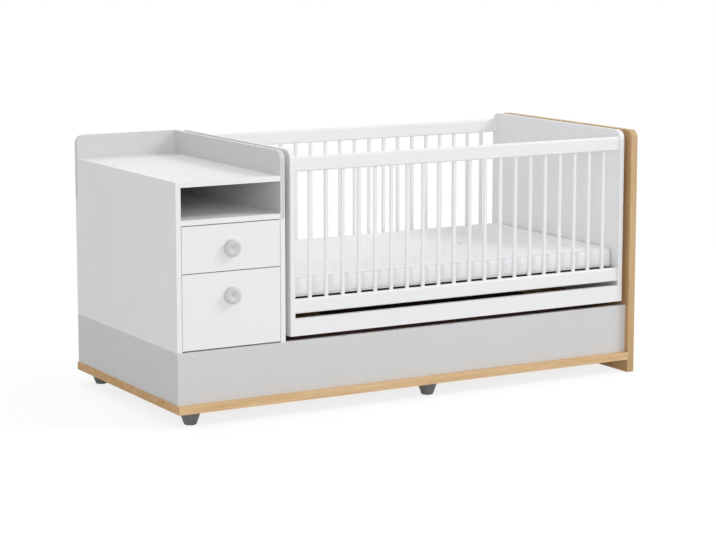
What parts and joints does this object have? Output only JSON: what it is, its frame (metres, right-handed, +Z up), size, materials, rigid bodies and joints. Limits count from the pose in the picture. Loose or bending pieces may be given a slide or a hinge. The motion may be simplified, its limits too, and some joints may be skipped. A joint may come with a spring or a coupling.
{
  "type": "crib with attached changer",
  "caption": "Slatted crib box that glides on a low plinth, beside a changing unit with an open niche and drawers, on a wooden base board with a wooden headboard.",
  "frame": {"origin": "on the floor, below the middle of the footprint", "axes": "+X along the length from the changer to the headboard, +Y from the front to the rear, +Z up; the front, with the drawer fronts, faces -Y"},
  "size_m": [1.88, 0.87, 0.91],
  "materials": {
    "white_lacquer": "white satin lacquer on board",
    "grey_lacquer": "light grey satin lacquer on board",
    "oak": "light oak, matt, grain along the length",
    "pine": "bare softwood",
    "brown_board": "brown hard board, matt",
    "foot_plastic": "dark grey, matt",
    "knob_plastic": "light grey, satin",
    "steel": "zinc plated",
    "nylon": "off-white, smooth",
    "mattress_cover": "white woven cover"
  },
  "bodies": {
    "base": {"base_board": "oak", "headboard": "oak", "plinth_front_rail": "grey_lacquer", "plinth_rear_rail": "grey_lacquer", "plinth_left_rail": "grey_lacquer", "plinth_divider": "grey_lacquer", "front_bearer": "brown_board", "rear_bearer": "brown_board", "foot_front_left": "foot_plastic", "foot_front_middle": "foot_plastic", "foot_rear_left": "foot_plastic", "foot_rear_middle": "foot_plastic", "foot_studs": "steel", "headboard_bolts": "steel", "glide_tracks": "steel", "changer_left_side": "white_lacquer", "changer_right_side": "white_lacquer", "changer_worktop": "white_lacquer", "changer_shelf": "white_lacquer", "changer_bottom": "white_lacquer", "changer_back": "white_lacquer", "rear_upstand": "grey_lacquer", "right_upstand": "grey_lacquer", "changer_dowels": "pine", "upper_cabinet_runners": "steel", "lower_cabinet_runners": "steel"},
    "upper_drawer": {"upper_drawer_front": "white_lacquer", "upper_drawer_left_side": "white_lacquer", "upper_drawer_right_side": "white_lacquer", "upper_drawer_back": "white_lacquer", "upper_drawer_bottom": "white_lacquer", "upper_drawer_runners": "steel", "upper_knob": "knob_plastic", "upper_knob_screw": "steel"},
    "lower_drawer": {"lower_drawer_front": "white_lacquer", "lower_drawer_left_side": "white_lacquer", "lower_drawer_right_side": "white_lacquer", "lower_drawer_back": "white_lacquer", "lower_drawer_bottom": "white_lacquer", "lower_drawer_runners": "steel", "lower_knob": "knob_plastic", "lower_knob_screw": "steel"},
    "crib_box": {"crib_left_end": "white_lacquer", "crib_right_end": "white_lacquer", "front_top_rail": "white_lacquer", "front_lower_rail": "white_lacquer", "front_slats": "white_lacquer", "front_apron": "white_lacquer", "rear_top_rail": "white_lacquer", "rear_lower_rail": "white_lacquer", "rear_slats": "white_lacquer", "rear_apron": "white_lacquer", "crib_cross_rails": "pine", "crib_dowels": "pine", "glide_shoes": "nylon", "bed_side_rails": "brown_board", "bed_slats": "brown_board", "bed_cleats": "brown_board", "mattress": "mattress_cover"}
  },
  "joints": [
    {"name": "upper_drawer_slide", "type": "slide", "parent": "base", "child": "upper_drawer", "axis": [0, -1, 0], "range_m": [0, 0.37]},
    {"name": "lower_drawer_slide", "type": "slide", "parent": "base", "child": "lower_drawer", "axis": [0, -1, 0], "range_m": [0, 0.37]},
    {"name": "crib_glide", "type": "slide", "parent": "base", "child": "crib_box", "axis": [1, 0, 0], "range_m": [-0.014, 0.014]}
  ]
}
